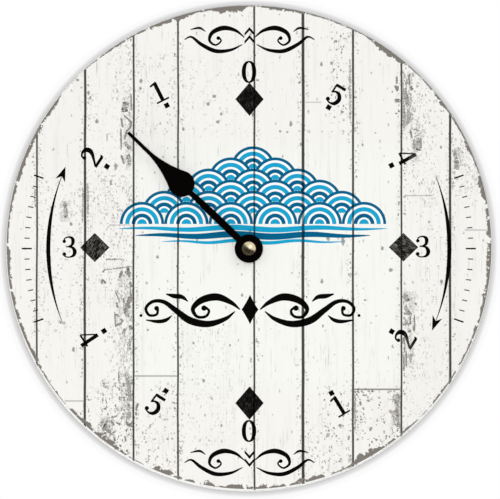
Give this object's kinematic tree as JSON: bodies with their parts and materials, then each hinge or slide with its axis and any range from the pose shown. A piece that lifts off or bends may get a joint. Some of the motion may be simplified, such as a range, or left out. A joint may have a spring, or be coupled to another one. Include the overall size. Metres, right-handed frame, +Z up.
{
  "type": "tide clock",
  "caption": "Round wall tide clock: plank-look printed dial and a tide hand on a battery movement, with a setting knob and a hanger behind.",
  "frame": {"origin": "on the hand's axis, in the plane where the movement's back meets the wall", "axes": "dial faces -Y, +X is the dial's right as it is read, +Z is up"},
  "size_m": [0.2666, 0.0321, 0.2666],
  "materials": {
    "board_white": "white satin lacquer on fibreboard",
    "printed_paper": "matt printed sheet",
    "case_plastic": "fine moulded texture",
    "knob_plastic": "moulded, satin",
    "plate_plastic": "natural, satin",
    "wheel_plastic": "natural, satin",
    "brass": "turned",
    "cap_brass": "polished, pale",
    "gasket_rubber": "matt",
    "plated_steel": "zinc plated",
    "pin_steel": "ground",
    "core_steel": "annealed, dull",
    "magnet": "sintered",
    "hand_paint": "black satin paint",
    "cell_steel": "nickel plated",
    "cell_filling": "packed powder",
    "cell_sleeve": "shrunk film",
    "circuit_green": "solder mask",
    "chip_resin": "cast resin",
    "bobbin_plastic": "natural",
    "copper_wire": "enamelled winding"
  },
  "bodies": {
    "clock_body": {"dial_board": "board_white", "dial_print": "printed_paper", "bushing": "brass", "bushing_nut": "brass", "nut_washer": "brass", "gasket": "gasket_rubber", "hanger_plate": "plated_steel", "movement_case": "case_plastic", "rear_cover": "case_plastic", "train_plate": "plate_plastic", "train_pins": "pin_steel", "positive_contact": "plated_steel", "negative_contact": "plated_steel", "circuit_board": "circuit_green", "chip_cover": "chip_resin", "quartz_crystal": "plated_steel", "coil_core": "core_steel", "coil_bobbin": "bobbin_plastic", "coil_winding": "copper_wire", "stator": "core_steel", "motor_screws": "plated_steel", "board_screws": "plated_steel"},
    "battery": {"battery_can": "cell_steel", "battery_core": "cell_filling", "battery_sleeve": "cell_sleeve", "battery_base": "cell_steel"},
    "rotor": {"rotor_hub": "wheel_plastic", "rotor_magnet": "magnet"},
    "first_wheel": {"first_wheel": "wheel_plastic"},
    "second_wheel": {"second_wheel": "wheel_plastic"},
    "third_wheel": {"third_wheel": "wheel_plastic"},
    "tide_wheel": {"tide_wheel": "wheel_plastic"},
    "hand_arbor": {"centre_arbor": "brass", "clutch_spring": "plated_steel", "setting_wheel": "wheel_plastic", "tide_hand": "hand_paint", "hand_collet": "brass", "cap_nut": "cap_brass"},
    "setting_knob": {"setting_knob": "knob_plastic", "setting_pinion": "wheel_plastic"}
  },
  "joints": [
    {"name": "first_wheel_turn", "type": "hinge", "parent": "clock_body", "child": "first_wheel", "pos_m": [-0.00381, 0, 0.01366], "axis": [0, -1, 0], "continuous": true},
    {"name": "rotor_turn", "type": "hinge", "parent": "clock_body", "child": "rotor", "pos_m": [0.00459, 0, 0.01352], "axis": [0, -1, 0], "continuous": true},
    {"name": "second_wheel_turn", "type": "hinge", "parent": "clock_body", "child": "second_wheel", "pos_m": [-0.01199, 0, 0.01177], "axis": [0, -1, 0], "continuous": true},
    {"name": "third_wheel_turn", "type": "hinge", "parent": "clock_body", "child": "third_wheel", "pos_m": [-0.00779, 0, 0.0045], "axis": [0, -1, 0], "continuous": true},
    {"name": "tide_wheel_turn", "type": "hinge", "parent": "clock_body", "child": "tide_wheel", "pos_m": [0, 0, 0], "axis": [0, -1, 0], "continuous": true},
    {"name": "hand_turn", "type": "hinge", "parent": "clock_body", "child": "hand_arbor", "pos_m": [0, 0, 0], "axis": [0, -1, 0], "continuous": true},
    {"name": "setting_knob_turn", "type": "hinge", "parent": "clock_body", "child": "setting_knob", "pos_m": [0.01021, 0, 0.00352], "axis": [0, -1, 0], "continuous": true},
    {"name": "battery_slide", "type": "slide", "parent": "clock_body", "child": "battery", "axis": [0, 1, 0], "range_m": [0, 0.018]}
  ],
  "couplings": [
    {"joint": "rotor_turn", "follows": "first_wheel_turn", "ratio": -6},
    {"joint": "second_wheel_turn", "follows": "first_wheel_turn", "ratio": -0.16667},
    {"joint": "third_wheel_turn", "follows": "first_wheel_turn", "ratio": 0.027778},
    {"joint": "tide_wheel_turn", "follows": "first_wheel_turn", "ratio": -0.0055556},
    {"joint": "setting_knob_turn", "follows": "hand_turn", "ratio": -2}
  ]
}
